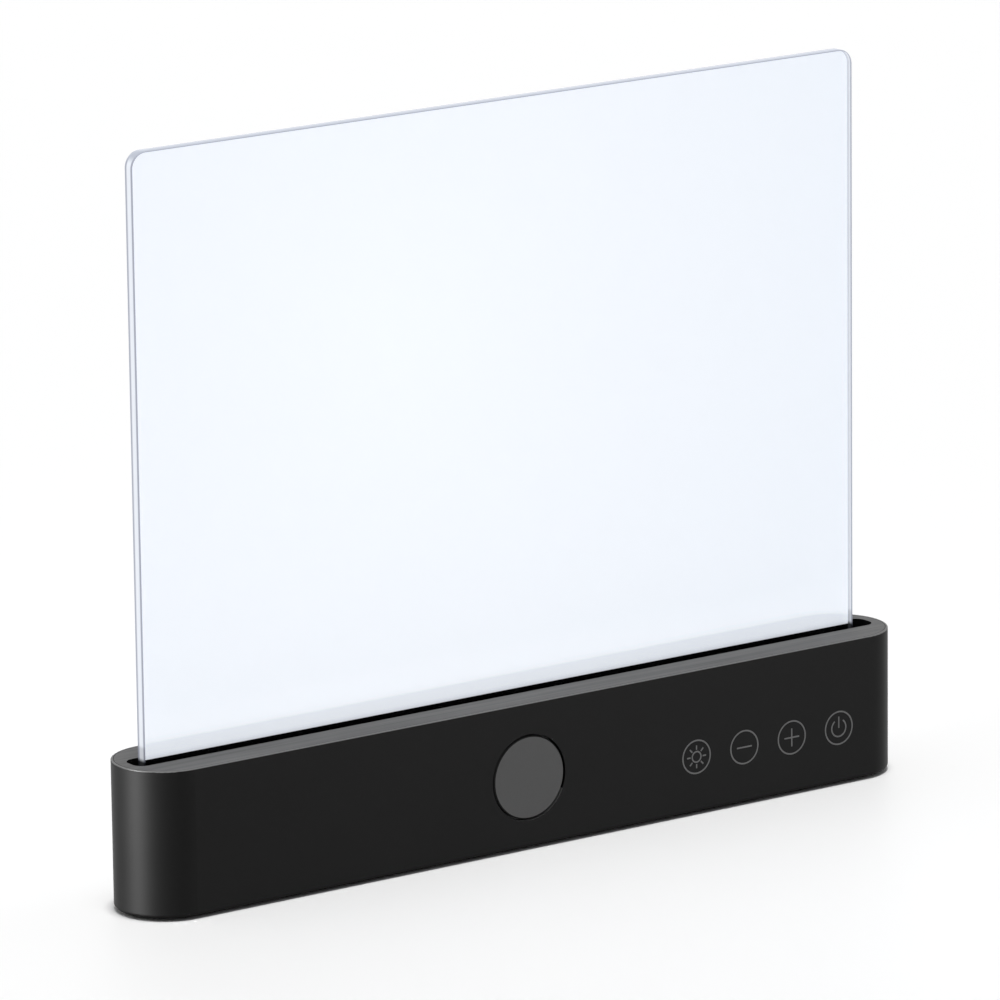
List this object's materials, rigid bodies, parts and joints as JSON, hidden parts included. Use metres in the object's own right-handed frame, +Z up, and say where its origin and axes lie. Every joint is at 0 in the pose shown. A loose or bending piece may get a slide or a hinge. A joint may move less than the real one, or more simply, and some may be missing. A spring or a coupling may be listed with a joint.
{
  "type": "book light",
  "caption": "Edge-lit acrylic sheet that lifts out of the slot of a bar base with round ends, a round push button and touch signs.",
  "frame": {"origin": "centre of the footprint, on the table that the rubber feet stand on", "axes": "+X along the base to the right as seen from the front, +Y to the back, +Z up"},
  "size_m": [0.246, 0.028, 0.199],
  "materials": {
    "housing_black": "satin black moulded ABS with a very fine grain",
    "plate_grey": "satin dark grey",
    "button_grey": "satin dark grey",
    "sign_grey": "grey translucent inlay",
    "acrylic": "clear cast acrylic with polished edges",
    "glow_film": "white dotted light-spreading film",
    "foot_rubber": "matt black",
    "grip_silicone": "matt dark grey",
    "channel_aluminium": "black anodised",
    "end_plastic": "black moulded",
    "ballast_steel": "bare cut bar",
    "screw_steel": "bright zinc",
    "spring_steel": "nickel plated",
    "board_green": "green solder mask",
    "led_board_white": "white solder mask",
    "led_yellow": "phosphor over a white case",
    "chip_black": "black moulded",
    "switch_black": "black moulded",
    "plunger_cream": "cream moulded",
    "cell_wrap": "blue shrink film over a metal can",
    "cradle_black": "black moulded",
    "socket_steel": "tinned",
    "tongue_black": "black moulded",
    "lead_insulation": "red and black insulation"
  },
  "bodies": {
    "base": {"housing_shell": "housing_black", "top_plate": "plate_grey", "bottom_cover": "housing_black", "cover_screws": "screw_steel", "rubber_feet": "foot_rubber", "ballast_bar": "ballast_steel", "ballast_screws": "screw_steel", "channel_base": "channel_aluminium", "channel_front": "channel_aluminium", "channel_back": "channel_aluminium", "channel_end_left": "end_plastic", "channel_end_right": "end_plastic", "channel_screws": "screw_steel", "grip_strip_front": "grip_silicone", "grip_strip_back": "grip_silicone", "slot_shield": "end_plastic", "led_board": "led_board_white", "led_chips": "led_yellow", "control_board": "board_green", "control_chips": "chip_black", "touch_springs": "spring_steel", "icon_brightness": "sign_grey", "icon_minus": "sign_grey", "icon_plus": "sign_grey", "icon_power": "sign_grey", "button_spring": "spring_steel", "tact_switch": "switch_black", "battery_cell": "cell_wrap", "battery_board": "board_green", "battery_cradle": "cradle_black", "charge_board": "board_green", "usb_shell": "socket_steel", "usb_tongue": "tongue_black", "battery_leads": "lead_insulation", "led_leads": "lead_insulation", "charge_leads": "lead_insulation"},
    "panel": {"light_panel": "acrylic", "glow_film": "glow_film"},
    "button": {"push_button": "button_grey"},
    "switch_plunger": {"tact_plunger": "plunger_cream"}
  },
  "joints": [
    {"name": "panel_lift", "type": "slide", "parent": "base", "child": "panel", "axis": [0, 0, 1], "range_m": [0, 0.025]},
    {"name": "button_press", "type": "slide", "parent": "base", "child": "button", "axis": [0, 1, 0], "range_m": [0, 0.0005], "stiffness_N_per_m": 1500, "springref_m": -0.0005, "deforming": ["button_spring"]},
    {"name": "switch_press", "type": "slide", "parent": "base", "child": "switch_plunger", "axis": [0, 1, 0], "range_m": [0, 0.0005]}
  ],
  "couplings": [
    {"joint": "switch_press", "follows": "button_press", "ratio": 1}
  ]
}
